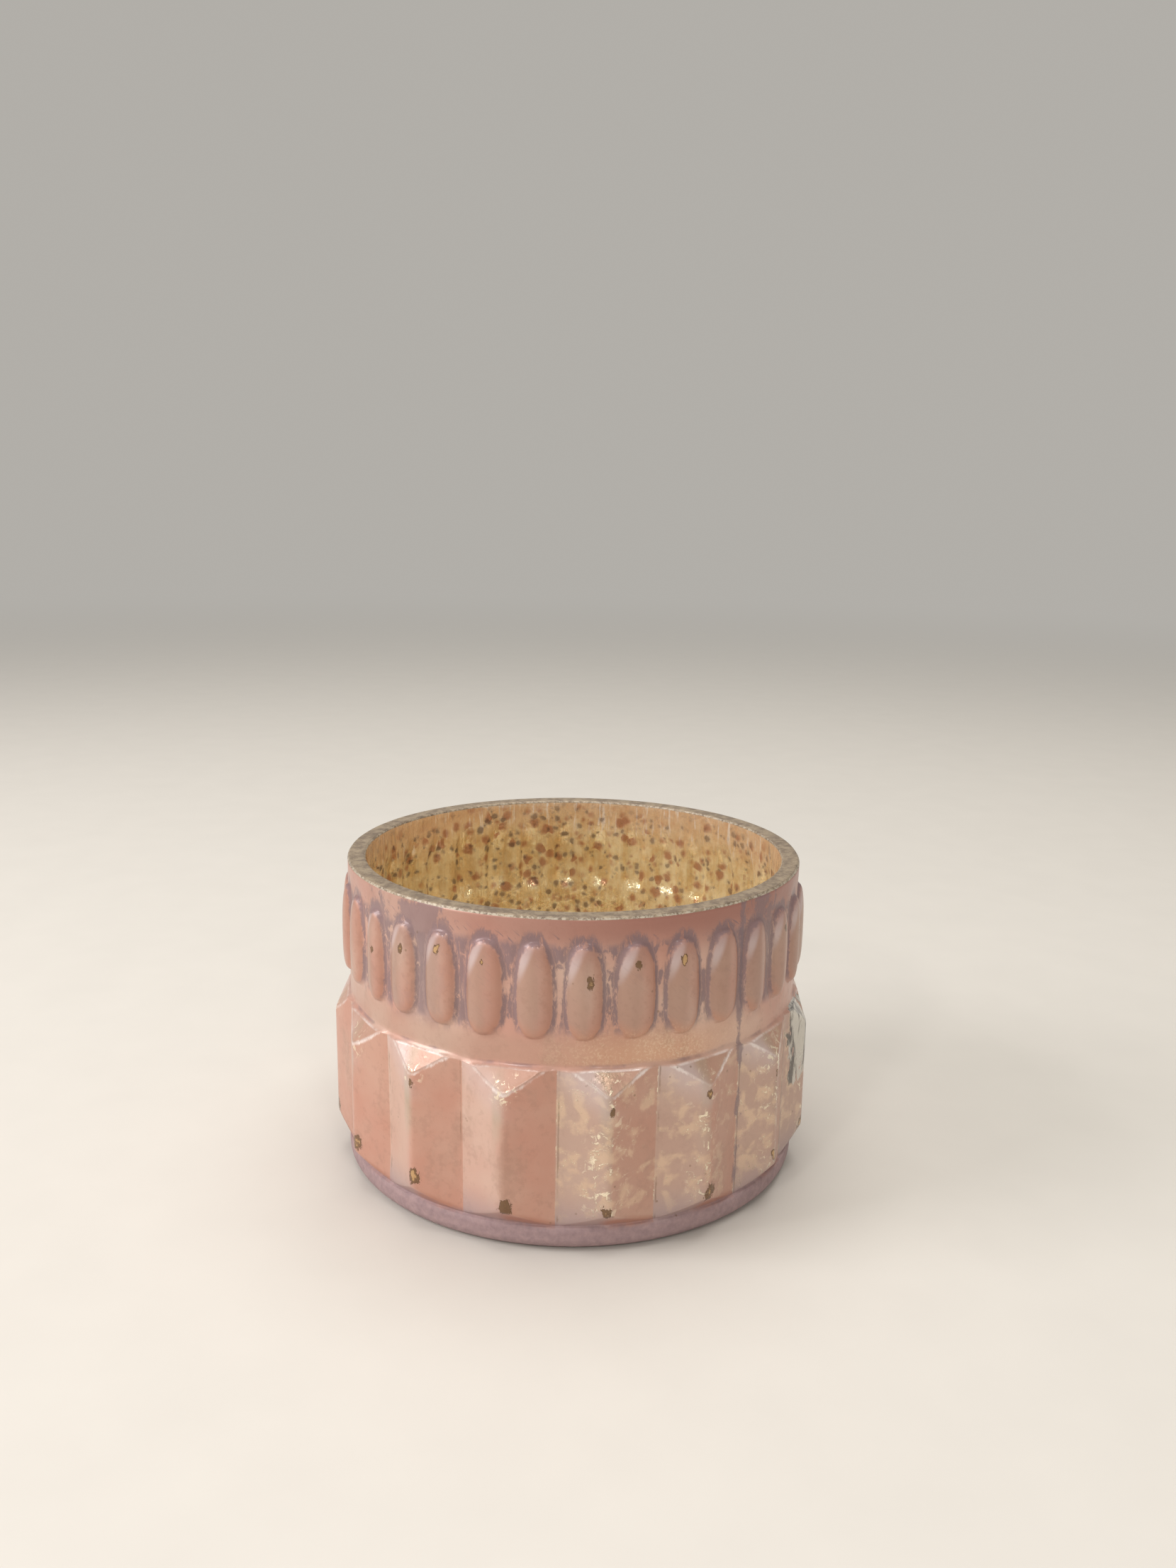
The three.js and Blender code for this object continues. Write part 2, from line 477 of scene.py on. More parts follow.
def panelEdges(angle):  # heights of the bevel's edge and of the gable's, which is a flat triangle
    facet = facetRadius(angle)
    bevelEdge = bowl["footBandTop"] + bowl["footStep"] + bowl["bevelSlope"] * (facet - bowl["valleyRadius"])
    outwards = facet * np.cos(fromMiddle(angle, bowl["panels"]))
    gableEdge = bowl["gableApex"] + bowl["gableSlope"] * (ridgeRadius - outwards)
    return bevelEdge, gableEdge


def outsideRadius(angle, height):
    facet = facetRadius(angle)
    soft = bowl["softEdge"]
    outwards = ridgeRadius - (height - bowl["gableApex"]) / bowl["gableSlope"]
    gable = outwards / np.cos(fromMiddle(angle, bowl["panels"]))
    shelf = bowl["waistRadius"] + (bowl["waistHeight"] + bowl["gableStep"] - height) * bowl["shelfSlope"]
    aboveBand = height - bowl["footBandTop"]
    bevel = bowl["valleyRadius"] + (aboveBand - bowl["footStep"]) / bowl["bevelSlope"]
    radius = softMin(softMin(softMin(facet, gable, soft), bevel, soft), shelf, soft)
    radius = softMax(radius, bowl["waistRadius"] + 0 * height, soft)
    radius = softMax(radius, bowl["footRadius"] - bowl["footTaper"] * np.maximum(aboveBand, 0), soft)
    groove = bell(lobeReach(angle, height) - bowl["grooveReach"], bowl["grooveWidth"])
    radius = radius + lobeRise(angle, height) - bowl["grooveDepth"] * groove
    return radius + bowl["seamRise"] * bell(fromSeam(angle), bowl["seamWidth"])


def insideRadius(angle, height):
    pocket = 1 - smooth(lobeReach(angle, height), *bowl["lobeDimpleReach"])
    foot = [bowl["floorHeight"] + part for part in bowl["panelDimpleFoot"]]
    top = [bowl["waistHeight"] + part for part in bowl["panelDimpleTop"]]
    lower = within(height, *foot, *top)
    panel = 0.5 - 0.5 * np.cos(angle * bowl["panels"])
    valley = bowl["valleyDimple"]
    radius = bowl["rimRadius"] - bowl["wall"] + bowl["lobeDimple"] * pocket
    return radius + bowl["panelDimple"] * lower * (valley + (1 - valley) * panel)


class Rows:  # the bowl's skin, from underneath over the rim to the floor inside
    def __init__(self):
        self.angle = np.arange(bowl["columns"]) * fullTurn / bowl["columns"]
        self.radii = []
        self.heights = []

    def circle(self, radius, height):
        self.radii.append(radius + 0 * self.angle)
        self.heights.append(height + 0 * self.angle)

    def corner(self, middle, size, start, count):  # a quarter turn of a rounded edge
        for turn in start + ease(count) * quarterTurn:
            self.circle(middle[0] + size * math.cos(turn), middle[1] + size * math.sin(turn))

    def outside(self, low, high, count):
        for share in ease(count + 1)[1:]:
            height = low + (high - low) * share + 0 * self.angle
            self.circle(outsideRadius(self.angle, height), height)


def footRows(rows):
    recess = bowl["recessRadius"]
    slope = bowl["recessSlope"]
    depth = bowl["recessDepth"]
    for share in (0.3, 0.7, 0.97):
        rows.circle((recess - slope) * share, depth)
    for share in ease(rowCounts["recess"]):
        rows.circle(recess - slope * (1 - share), depth * (1 - smooth(share, 0, 1)))
    flat = bowl["footRadius"] - bowl["footRound"]
    rows.circle((recess + flat) / 2, 0)
    rows.corner((flat, bowl["footRound"]), bowl["footRound"], -quarterTurn, rowCounts["footRound"])


def outsideRows(rows):
    first = len(rows.radii)
    bevelEdge, gableEdge = panelEdges(rows.angle)
    waistEdge = bowl["waistHeight"] + bowl["waistLip"]
    gableFrom = np.minimum(gableEdge, waistEdge - bowl["leastGable"])
    stretches = [("footBand", bowl["footBandTop"]), ("bevel", bevelEdge), ("panel", gableFrom)]
    stretches += [("gable", waistEdge), ("waist", bowl["lobeBottom"]), ("lobes", bowl["lobeTop"])]
    stretches += [("collar", bowlHeight - bowl["rimRound"])]
    low = bowl["footRound"]
    for stretch, high in stretches:
        rows.outside(low, high, rowCounts[stretch])
        low = high
    height = np.array(rows.heights[first:])
    calm = within(height, *bowl["unevenFoot"], *fromRim("unevenTop"))
    uneven = ripple(rows.angle, height, seed=3, waves=9, tallest=90.0) - 1.2  # mostly inwards
    rows.radii[first:] = list(np.array(rows.radii[first:]) + uneven * bowl["unevenOutside"] * calm)


def rimRows(rows):
    rimRound = bowl["rimRound"]
    outer = bowl["rimRadius"] - rimRound
    inner = bowl["rimRadius"] - bowl["wall"] + rimRound
    worn = (ripple(rows.angle, 0 * rows.angle, seed=11, waves=16, tallest=1.0) - 1.5) * bowl["rimWear"]
    for share in np.linspace(0, 1, rowCounts["rimOutside"] + 1)[1:]:
        bend = share * quarterTurn
        dent = worn * math.sin(2 * bend)
        radius = outer + (rimRound + dent) * math.cos(bend)
        rows.circle(radius, bowlHeight - (rimRound - dent) * (1 - math.sin(bend)))
    for share in (0.33, 0.67):
        rows.circle(outer + (inner - outer) * share, bowlHeight)
    rows.corner((inner, bowlHeight - rimRound), -rimRound, -quarterTurn, rowCounts["rimInside"])


def insideRows(rows):
    floorRound = bowl["floorRound"]
    top = bowlHeight - bowl["rimRound"]
    bottom = bowl["floorHeight"] + floorRound
    for share in np.linspace(0, 1, rowCounts["wall"] + 1)[1:]:
        height = top * (1 - share) + bottom * share + 0 * rows.angle
        calm = within(height, bottom, bottom + bowl["insideFoot"], *fromRim("insideTop"))
        uneven = ripple(rows.angle, height, seed=5, waves=12, tallest=60.0) * bowl["unevenInside"] * calm
        rows.circle(insideRadius(rows.angle, height) + uneven, height)
    wallFoot = bowl["rimRadius"] - bowl["wall"] - floorRound
    for share in np.linspace(0, 1, rowCounts["floorRound"] + 1)[1:]:
        bend = share * quarterTurn
        rows.circle(wallFoot + floorRound * math.cos(bend), bottom - floorRound * math.sin(bend))
    for share in (0.8, 0.55, 0.3, 0.12):
        rows.circle(wallFoot * share, bowl["floorHeight"])


# Glass bowl: where its finishes are

goldByPanel = (0.95, 0.85, 1.0, 0.9, 0.35, 0.1, 0.0, 0.45, 0.7, 0.5, 0.15, 0.0, 0.0, 0.0, 0.05, 0.1)
goldOnRight = 0.45  # share of a panel's gold that its right facet has
barePatches = ((77, 8, 1.0), (-152, 7, 0.8))  # patches as middle and width in degrees, and strength
wearPatches = ((52, 9, 0.9), (-34, 17, 0.85), (150, 14, 0.7), (-118, 12, 0.8))
goldenWaist = ((22, 20, 1.0), (200, 24, 0.7))
chips = {  # millimetres, and the share of the places that have a chip
    "seed": 26355,
    "sizes": (0.5, 1.2),
    "farthest": 3,
    "onLobes": {"share": 0.5, "height": 53.6, "upward": 2.6, "aside": 0.9, "wide": 0.75, "tall": 1.2},
    "underGables": {"share": 0.5, "height": 27.8, "upward": 1.6, "aside": 0.6, "wide": 0.7, "tall": 1.2},
    "atFeet": {"share": 0.9, "height": 9.2, "upward": 1.4, "aside": 0.9, "wide": 1.2, "tall": 1.5},
}


def patchesAround(angle, patches):
    total = 0 * angle
    for middle, width, strength in patches:
        away = np.mod(np.degrees(angle) - middle + 180, 360) - 180
        total = total + strength * bell(away, width)
    return total


def fromChip(random, kind, angle, heights, sectors, radius):  # 0 in a chip's middle, 1 at its edge
    site = chips[kind]
    index = sectorOf(angle, sectors)
    across = fromMiddle(angle, sectors) * radius
    size = random.uniform(*chips["sizes"], sectors) * (random.random(sectors) < site["share"])
    size = size + 0.01  # too small to show where there is no chip
    up = site["height"] + random.uniform(-site["upward"], site["upward"], sectors)
    aside = random.uniform(-site["aside"], site["aside"], sectors)
    wide = (across - aside[index]) / site["wide"]
    tall = (heights - up[index]) / site["tall"]
    return np.hypot(wide, tall) / size[index]


def bowlFields(angle, heights):
    bevelEdge, gableEdge = panelEdges(angle)
    gold = np.array(goldByPanel)[sectorOf(angle, bowl["panels"])]
    gold = np.where(fromRidge(angle) > 0, goldOnRight * gold, gold)
    random = np.random.default_rng(chips["seed"])
    lobeChips = fromChip(random, "onLobes", angle, heights, bowl["lobes"], bowl["rimRadius"])
    gableChips = fromChip(random, "underGables", angle, heights, bowl["panels"], ridgeRadius)
    footChips = fromChip(random, "atFeet", angle, heights, bowl["panels"], ridgeRadius)
    chip = np.minimum(np.minimum(lobeChips, gableChips), footChips)
    return {
        "height": heights,
        "reach": np.clip(lobeReach(angle, heights), 0, 3),
        "ridge": fromRidge(angle),
        "gable": heights - gableEdge,
        "bevel": bevelEdge - heights,
        "gold": gold,
        "wear": patchesAround(angle, wearPatches),
        "waistGold": patchesAround(angle, goldenWaist),
        "seam": np.abs(fromSeam(angle)),
        "lobeSide": acrossLobe(angle),
        "bare": patchesAround(angle, barePatches),
        "chip": np.minimum(chip, chips["farthest"]),
    }


# Glass bowl: its finishes

lacquer = {
    "pink": tone(203, 153, 136),
    "pale": tone(212, 180, 163),
    "deep": tone(190, 131, 107),
    "mauve": tone(164, 112, 98),
    "tan": tone(178, 143, 124),
    "worn": tone(124, 104, 110),
    "lilac": tone(168, 146, 147),
    "gold": tone(226, 196, 166),
    "grain": tone(222, 170, 128),
    "smoke": tone(182, 156, 141),
    # the colour of the painted sheen on the lobes and gables
    "paintedSheen": tone(218, 206, 210),
    "umber": tone(138, 100, 84),
    "frost": tone(190, 160, 158),
    "foil": tone(198, 160, 108),
    "ashen": tone(172, 160, 136),
    "chip": tone(112, 82, 50),
    "paintedBevelShade": tone(168, 104, 80),
    # the colour of the painted highlights along the gable edges
    "edge": tone(240, 226, 220),
    # the colour of painted glints
    "paintedGlint": tone(252, 238, 208),
    "silver": tone(212, 210, 202),
    # the dark of the reflections painted on bare silver
    "darkReflection": tone(70, 76, 78),
    "metallic": 0.2,
    "roughness": 0.42,
    "coat": 0.35,
    "coatRoughness": 0.16,
    "grainDepth": 0.00005,
}
zones = {  # heights in millimetres, between which a layer starts or ends
    "footBand": (5.0, 7.0),
    "frosting": (5.0, 14.0),
    "footArc": (6.2, 8.4),
    "seamFoot": (6.0, 9.0),
    "silverFoot": (10.0, 28.0),
    "silverTop": (35.4, 36.4),
    "panelTop": (35.2, 35.8),
    "waistFoot": (35.8, 37.0),
    "waistTop": (39.5, 43.0),
    "sandTop": (38.0, 45.0),
    "patchFoot": (39.0, 44.0),
    "beltFoot": (40.5, 43.0),
    "beltTop": (60.4, 62.4),
    "outlineFoot": (41.0, 44.0),
    "scratchFoot": (41.0, 46.0),
    "scratchTop": (63.0, 65.0),
    "lobeFoot": (41.5, 44.5),
    "grooveFoot": (50.0, 55.0),
    "lobeTop": (50.0, 56.0),
    "collar": (57.0, 65.0),
}
waistLine = 35.45
waistShadow = 36.05


class Lacquer(Paint):  # the bowl's paint, laid on in layers
    def __init__(self):
        super().__init__("lacqueredGlass")
        self.point = self.place()
        self.height = self.field("height")
        self.reach = self.field("reach")
        self.side = self.field("ridge")
        self.ridge = abs(self.side)
        self.lobeSide = self.field("lobeSide")
        self.gable = self.field("gable")
        self.bevel = self.field("bevel")
        self.wear = self.field("wear")
        self.cloud = self.noise(self.point, 55.0, detail=3.0, rough=0.55)
        self.mottle = self.noise(self.stretch(self.point, (1.0, 1.0, 0.5)), 170.0, detail=4.0, rough=0.6)
        self.fine = self.noise(self.point, 700.0, detail=4.0, rough=0.65)
        self.grit = self.noise(self.point, 2600.0, rough=0.6)
        tall = self.stretch(self.point, (1.0, 1.0, 0.35))
        self.ragged = self.noise(tall, 900.0, detail=5.0, rough=0.7, twist=0.8)
        self.patchy = self.noise(self.shift(self.point, (3.1, 1.7, 0.4)), 110.0, detail=4.0, rough=0.65)
        self.spread = self.noise(self.shift(self.point, (0.3, 0.1, 0.7)), 330.0, twist=0.3)
        self.onPanel = self.under("panelTop") * rise(self.bevel * -1.0, -0.3, 0.3)
        self.onLobe = below(self.reach, 0.88, 1.0)
        self.onGable = rise(self.gable, -0.1, 0.5) * self.onPanel

    def above(self, zone, uneven=0.0):
        return rise(self.height + uneven, *zones[zone])

    def under(self, zone, uneven=0.0):
        return below(self.height + uneven, *zones[zone])

    def cover(self, tint, share, strength=1.0):
        over = lacquer[tint] if isinstance(tint, str) else tint
        self.colour = mix(share * strength, self.colour, over)

    def baseCoat(self):  # thicker and thinner in clouds, with painted light and shade: paler on the left of each ridge and deeper on its right
        broad = self.noise(self.point, 24.0)
        self.colour = mix(rise(self.cloud, 0.35, 0.68), lacquer["pink"], lacquer["pale"])
        self.cover("deep", rise(broad, 0.48, 0.66), 0.5)
        # painted shade on the right facet of each panel, painted light on its left facet
        self.cover("deep", rise(self.side, -0.9, 0.9) * self.onPanel, 0.5)
        self.cover("pale", below(self.side, -1.8, -0.2) * self.onPanel, 0.4)
        self.cover("tan", rise(self.mottle, 0.5, 0.72), 0.35)

    def lobes(self):
        # painted light and shade: each lobe's left half greyish tan and its right half deeper salmon
        left = below(self.lobeSide + wobble(self.fine, 0.6), -0.2, 0.4)
        right = rise(self.lobeSide + wobble(self.fine, 0.4), 0.1, 0.8)
        self.cover("tan", self.onLobe * left, 0.7)
        self.cover("deep", self.onLobe * right, 0.6)
        self.cover("umber", self.onLobe, 0.22)
        self.cover("umber", rise(self.fine + wobble(self.mottle, 0.6), 0.5, 0.7), 0.16)
        # painted highlight: a pale sheen on the upper left of each lobe
        slanted = self.lobeSide + (self.height - zones["lobeTop"][1]) * -0.12
        paintedSheen = below(slanted, -0.45, -0.1) * self.above("lobeTop")
        self.cover("paintedSheen", self.onLobe * paintedSheen, 0.5)
        # painted shade: deeper under the foot of each lobe
        tip = self.under("lobeFoot", self.fine + abs(self.lobeSide) * -2.0)
        self.cover("deep", self.onLobe * tip, 0.6)

    def collarAndWaist(self):
        across = self.axis(self.point, 0)
        collar = self.above("collar", self.cloud * 6.0)
        # a mauve collar, partly painted shade: the mauve is stronger towards +x
        self.cover("mauve", collar * (0.45 + rise(across, -0.045, 0.03) * 0.55))
        waist = self.above("waistFoot") * self.under("waistTop")
        # painted shade: the waist toned darker towards -x
        self.cover("tan", waist * below(across, -0.02, 0.03), 0.5)

    def gilding(self):  # smoky glass beside the ridges, and golden blotches where the paint is thin
        smoke = below(abs(self.side + 0.9), 0.4, 1.7) * self.onPanel * rise(self.gable, -16.0, -3.0)
        self.cover("ashen", smoke * rise(self.cloud, 0.35, 0.6), 0.65)
        gold = self.field("gold")
        thin = self.onPanel * gold
        self.cover("smoke", thin, 0.6)
        blotches = self.spread + wobble(self.mottle, 0.35) + wobble(self.grit, 0.12)
        gilt = rise(blotches + thin * 0.09, 0.54, 0.74) * self.onPanel * rise(gold, 0.2, 0.5)
        sanded = self.field("waistGold") * self.above("waistFoot") * self.under("sandTop")
        sand = self.noise(self.point, 2300.0, detail=3.0, rough=0.7)
        grains = rise(sand + wobble(self.mottle, 0.4), 0.48, 0.66) * sanded
        self.cover("grain", sanded, 0.45)
        self.cover("gold", grains, 0.75)
        self.cover("gold", gilt, 0.6)
        self.gilt = most(gilt, grains * 0.6)
        flecks = self.noise(self.shift(self.point, (0.9, 0.2, 0.5)), 560.0, detail=4.0, rough=0.65, twist=1.2)
        self.flecks = rise(flecks, 0.55, 0.61) * rise(self.patchy, 0.4, 0.5)
        nearRidge = below(self.ridge + wobble(self.mottle, 10.0), 2.0, 5.0)
        self.glints = self.flecks * nearRidge * self.onPanel * rise(gold, 0.3, 0.6)
        # painted glints: near-white flecks near the ridges of gilded panels
        self.cover("paintedGlint", self.glints, 0.85)
        self.sparkle = rise(self.grit + self.fine * 0.4 + self.patchy * 0.3, 0.98, 1.08)
        # painted glints: bright specks inside the golden blotches
        self.cover("paintedGlint", self.gilt * self.sparkle, 0.8)

    def wornGrooves(self):  # between and around the lobes, with scratches
        belt = self.above("beltFoot") * self.under("beltTop", self.ragged * 3.0 + self.cloud * 2.0)
        groove = rise(self.reach + wobble(self.ragged, 0.8), 1.06, 1.26) * belt
        ragged = wobble(self.ragged, 6.0)
        groove = groove * self.above("grooveFoot", self.patchy * 16.0 + self.wear * 7.0 + ragged)
        groove = groove * rise(self.patchy + self.wear * 0.32 + wobble(self.ragged, 0.5), 0.48, 0.56)
        outline = rise(self.reach + wobble(self.fine, 0.2), 0.9, 0.98)
        outline = outline * below(self.reach + wobble(self.ragged, 0.5), 1.1, 1.22)
        outline = outline * rise(self.ragged + self.patchy * 0.7, 0.66, 0.82) * self.above("outlineFoot")
        patches = rise(self.ragged * 0.5 + self.patchy + self.wear * 0.42, 1.0, 1.08)
        patches = patches * self.above("patchFoot")
        strokes = self.noise(self.turned(self.point, (0.0, 0.75, 0.0), (0.003, 0.003, 0.00032)), 1.0)
        scratches = rise(strokes, 0.6, 0.65) * rise(self.patchy + self.wear * 0.15, 0.46, 0.56)
        scratches = scratches * self.above("scratchFoot") * self.under("scratchTop", self.patchy * 6.0)
        worn = most(groove * 0.85, most(patches * 0.7, scratches * 0.7))
        self.worn = most(worn * (1 - self.onLobe * 0.85), outline * 0.85)
        self.cover("worn", self.worn, 0.9)

    def gablesAndEdges(self):
        self.cover("tan", self.onGable, 0.5)
        # painted sheen: a pale veil on the gables and the tops of the panels, stronger to their left
        paintedVeil = rise(self.gable, -7.0, 0.5) * below(self.side + self.gable * 0.6, -3.0, 1.0)
        self.cover("paintedSheen", paintedVeil * self.onPanel * rise(self.cloud, 0.3, 0.6), 0.4)
        # painted highlight: broken near-white lines along the gable edges and the waist line
        broken = rise(self.patchy + self.cloud + self.ragged * 0.6, 1.2, 1.5)
        nearGable = below(abs(self.gable + wobble(self.ragged, 1.2)), 0.05, 0.45 + broken * 0.25)
        nearWaist = below(abs(self.height - waistLine), 0.05, 0.3) * rise(self.gable, 0.2, 1.0)
        self.edge = most(nearGable * self.onPanel, nearWaist * 0.8) * (0.15 + broken * 0.85)
        self.cover("edge", self.edge, 0.85)
        # painted glints: bright specks around each gable's apex
        nearTip = below(self.ridge, 1.0, 3.2) * below(abs(self.gable), 1.5, 3.5)
        self.paintedTipGlints = self.flecks * nearTip * self.onPanel
        self.cover("paintedGlint", self.paintedTipGlints, 0.75)
        shadow = below(abs(self.height - waistShadow), 0.1, 0.5) * rise(self.gable, 0.8, 2.4)
        self.cover("worn", shadow * rise(self.patchy, 0.4, 0.6), 0.5)

    def foot(self):
        frosting = self.under("frosting", self.fine * 2.0) * below(self.side, -1.5, 1.5)
        self.cover("lilac", frosting, 0.8)
        # painted shade: darker crescents on the bevel under the right facets
        paintedBevelShade = self.under("footArc", wobble(self.cloud, 3.0)) * rise(self.bevel, -1.2, 0.3)
        self.cover("paintedBevelShade", paintedBevelShade * rise(self.side, -2.5, 1.0), 0.65)
        self.footBand = self.under("footBand", self.fine * 1.6 + wobble(self.cloud, 2.0))
        self.cover(mix(self.fine, lacquer["worn"], lacquer["frost"]), self.footBand)

    def valleysAndSeams(self):
        # painted shade: a dark, broken line along each valley between panels
        valley = rise(self.ridge + wobble(self.ragged, 0.9), 9.4, 9.8) * self.onPanel
        self.cover("chip", valley * rise(self.patchy, 0.42, 0.56), 0.5)
        seam = self.field("seam") + wobble(self.ragged, 3.0) + wobble(self.patchy, 5.0)
        self.cover("worn", below(seam, 0.1, 0.7) * self.above("seamFoot"), 0.7)

    def chipping(self):  # dark, with the foil showing in the middle
        dots = below(self.cells(self.point, 330.0), 0.05, 0.1) * rise(self.cloud, 0.5, 0.6)
        self.cover("chip", dots, 0.5)
        away = self.field("chip") + wobble(self.ragged, 2.4) + wobble(self.fine, 1.6)
        self.chip = below(away, 0.85, 0.95)
        foil = below(away + wobble(self.mottle, 2.0), 0.25, 0.45)
        self.cover(mix(foil, lacquer["chip"], lacquer["foil"]), self.chip, 0.9)

    def bareSilver(self):
        streaks = self.stretch(self.point, (1.0, 1.0, 0.3))
        streaks = self.noise(streaks, 360.0, detail=4.0, rough=0.6, twist=0.5)
        here = self.field("bare") * self.above("silverFoot") * self.under("silverTop")
        ragged = self.mottle * 0.4 + self.spread * 0.3 + streaks * 0.3 + here * 0.25
        self.bare = rise(ragged, 0.63, 0.66) * rise(here, 0.15, 0.4)
        # bare silver where the paint is gone, with dark and pale streaks painted as its reflections
        plate = mix(rise(streaks, 0.46, 0.57), lacquer["darkReflection"], lacquer["silver"])
        self.cover(plate, self.bare, 0.85)

    def surface(self):
        shiny = most(most(self.gilt * 0.8, self.chip), most(self.glints, self.paintedTipGlints))
        metallic = most(lacquer["metallic"] + shiny * 0.3 - self.footBand * 0.2, self.bare * 0.9)
        roughness = lacquer["roughness"] + self.footBand * 0.3 + self.worn * 0.1
        coat = lacquer["coat"] + self.onLobe * 0.1 + self.edge * 0.5 + self.glints * 0.4
        relief = self.fine * 0.8 + self.grit * 0.2 - self.worn * 0.9 - self.chip * 1.6
        relief = relief + self.gilt * self.sparkle * 1.5 + self.mottle * 2.5
        relief = relief + self.glints + self.onGable * self.mottle * 6.0
        return self.finish({
            "Base Color": self.colour,
            "Metallic": metallic,
            "Roughness": roughness - shiny * 0.16 - self.bare * 0.25,
            "Coat Weight": coat - self.onGable * 0.22 - self.footBand * 0.38,
            "Coat Roughness": lacquer["coatRoughness"],
            "Normal": self.bump(relief, lacquer["grainDepth"]),
        })


def lacquerPaint():  # each layer covers the ones before it
    paint = Lacquer()
    paint.baseCoat()
    paint.lobes()
    paint.collarAndWaist()
    paint.gilding()
    paint.wornGrooves()
    paint.gablesAndEdges()
    paint.foot()
    paint.valleysAndSeams()
    paint.chipping()
    paint.bareSilver()
    return paint.surface()


rim = {
    "grey": tone(118, 102, 86),
    "pale": tone(160, 143, 120),
    # the colour of the painted highlight on the rim's rounded edges
    "edge": tone(214, 204, 186),
    "lip": (-0.25, -0.05),  # millimetres from the top
    "roughness": 0.35,
    "metallic": 0.2,
    "grainDepth": 0.00012,
}


def rimPaint():
    paint = Paint("groundRim")
    place = paint.place()
    grain = paint.noise(place, 1500.0, detail=4.0, rough=0.7)
    ground = paint.noise(place, 520.0, detail=5.0, rough=0.75)
    colour = mix(rise(ground, 0.35, 0.65), rim["grey"], rim["pale"])
    low, high = (bowlHeight + part for part in rim["lip"])
    # painted highlight: a broken pale line on the rim's rounded edges
    lip = below(paint.field("height"), low, high) * rise(grain, 0.45, 0.55)
    colour = mix(lip * 0.55, colour, rim["edge"])
    return paint.finish({
        "Base Color": colour,
        "Roughness": rim["roughness"] + grain * 0.2,
        "Metallic": rim["metallic"],
        "Normal": paint.bump(grain, rim["grainDepth"]),
    })


mirror = {  # zones in millimetres up the bowl, spots as how large and how many they are
    "gold": tone(228, 200, 146),
    "pale": tone(246, 230, 186),
    "rose": tone(230, 192, 166),
    "paintedHighlight": tone(250, 240, 226),
    "spot": tone(94, 62, 38),
    "blot": tone(170, 104, 78),
    "wallZone": (14.0, 30.0),
    "rosyZone": (56.0, 68.0),
    "glossZone": (57.0, 62.0),
    "plainZone": (64.0, 70.0),
    "bumpOnFloor": 0.12,
    "spots": {"scale": 560.0, "channel": 0, "growth": 0.55, "border": (-0.26, 0.12)},
    "blots": {"scale": 400.0, "channel": 1, "growth": 0.6, "border": (-0.28, 0.14)},
    "metallic": 0.5,
    "roughness": 0.17,
    "streakDepth": 0.0006,
}


def mirrorSpots(paint, place, kind):  # round spots, each of its own size
    look = mirror[kind]
    size = paint.axis(paint.cells(place, look["scale"], "Color"), look["channel"])
    return below(paint.cells(place, look["scale"]) - size * look["growth"], *look["border"])


def mirrorPaint():
    paint = Paint("spottedMirror")
    place = paint.place()
    height = paint.field("height")
    streaks = paint.noise(paint.stretch(place, (430.0, 430.0, 70.0)), 1.0, detail=3.0, rough=0.55)
    highlightStreaks = paint.noise(paint.stretch(place, (900.0, 900.0, 130.0)), 1.0, detail=3.0, rough=0.6)
    cloud = paint.noise(place, 60.0, detail=3.0)
    mottle = paint.noise(place, 330.0, detail=4.0, rough=0.6)
    colour = mix(rise(streaks * 0.5 + mottle * 0.5, 0.4, 0.6), mirror["gold"], mirror["pale"])
    rosy = rise(height + cloud * 10.0, *mirror["rosyZone"])
    colour = mix(rosy * 0.6, colour, mirror["rose"])
    # painted highlight: pale vertical streaks near the top of the inside
    gloss = rise(highlightStreaks, 0.56, 0.66) * rise(height + cloud * 6.0, *mirror["glossZone"])
    colour = mix(gloss * 0.85, colour, mirror["paintedHighlight"])
    wander = paint.stretch(paint.noise(place, 500.0, output="Color"), (0.0015, 0.0015, 0.0015))
    warped = paint.shift(place, wander)
    spotted = below(height + cloud * 10.0, *mirror["plainZone"])
    spots = mirrorSpots(paint, warped, "spots") * spotted
    blots = mirrorSpots(paint, warped, "blots") * spotted
    colour = mix(blots * 0.7, colour, mirror["blot"])
    colour = mix(spots * 0.75, colour, mirror["spot"])
    leastBump = mirror["bumpOnFloor"]
    onWall = leastBump + rise(height, *mirror["wallZone"]) * (1 - leastBump)
    return paint.finish({
        "Base Color": colour,
        "Metallic": mirror["metallic"] * (1 - spots * 0.8),
        "Roughness": mirror["roughness"] + spots * 0.3 - gloss * 0.08,
        "Normal": paint.bump((streaks + mottle * 0.5) * onWall, mirror["streakDepth"]),
    })


def makeBowl():
    rows = Rows()
    footRows(rows)
    outsideRows(rows)
    outsideTo = len(rows.radii)
    rimRows(rows)
    rimTo = len(rows.radii)
    insideRows(rows)
    radii = np.array(rows.radii)
    heights = np.array(rows.heights)
    fields = bowlFields(rows.angle, heights)
    outside = np.arange(len(radii)) < outsideTo
    calm = within(heights, *bowl["swayFoot"], *fromRim("swayTop")) * outside[:, None]
    sway = ripple(rows.angle, heights, seed=21, waves=10, tallest=70.0) * bowl["sway"] * calm
    lift = ripple(rows.angle, 0 * heights, seed=22, waves=12, tallest=70.0) * bowl["sway"] * calm
    turned = rows.angle + sway / bowl["rimRadius"]
    piece = revolved("bowl_shell", turned, radii, heights + lift, fields)
    bands = [(outsideTo - 1, lacquerPaint()), (rimTo - outsideTo, rimPaint())]
    bands.append((len(radii) - rimTo, mirrorPaint()))
    paintRows(piece, bowl["columns"], bands)
    settle(piece, "bowl", "glass_bowl")
    print("bowl made,", len(radii), "rows,", len(piece.data.polygons), "faces")


# Tealight

